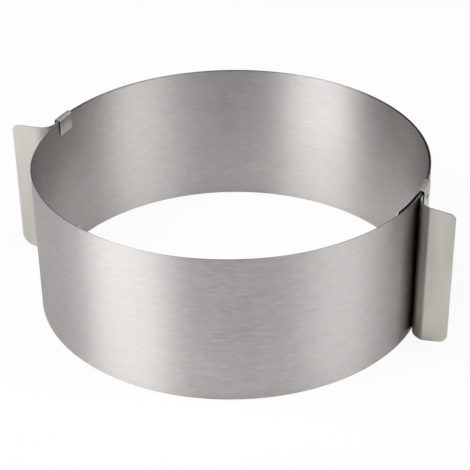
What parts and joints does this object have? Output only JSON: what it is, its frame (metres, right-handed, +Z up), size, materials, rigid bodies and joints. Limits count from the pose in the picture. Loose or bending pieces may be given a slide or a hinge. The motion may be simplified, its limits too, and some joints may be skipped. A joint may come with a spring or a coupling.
{
  "type": "adjustable cake ring",
  "caption": "Round open ring of brushed steel strip whose inner turn slides inside the outer turn, with flared handles and hooked clips, to set the width of a cake.",
  "frame": {"origin": "on the ring's axis, in the plane of the lower clips' undersides, on which the ring stands", "axes": "+Z up along the ring's axis, +X towards the inner handle, -X towards the outer handle"},
  "size_m": [0.2632, 0.2174, 0.0862],
  "materials": {
    "strip_steel": "fine brushed grain along the strip",
    "handle_steel": "smooth rolled sheet, slightly warm",
    "clip_steel": "smooth rolled sheet, bright on the bends"
  },
  "bodies": {
    "outer_end": {"band_outer_turn": "strip_steel", "outer_handle": "handle_steel", "outer_upper_clip": "clip_steel", "outer_lower_clip": "clip_steel"},
    "inner_end": {"band_inner_turn": "strip_steel", "inner_handle": "handle_steel", "inner_upper_clip": "clip_steel", "inner_lower_clip": "clip_steel"}
  },
  "joints": [
    {"name": "ring_adjust", "type": "hinge", "parent": "outer_end", "child": "inner_end", "pos_m": [0, 0, 0], "axis": [0, 0, 1], "range_deg": [-162, 162]}
  ]
}
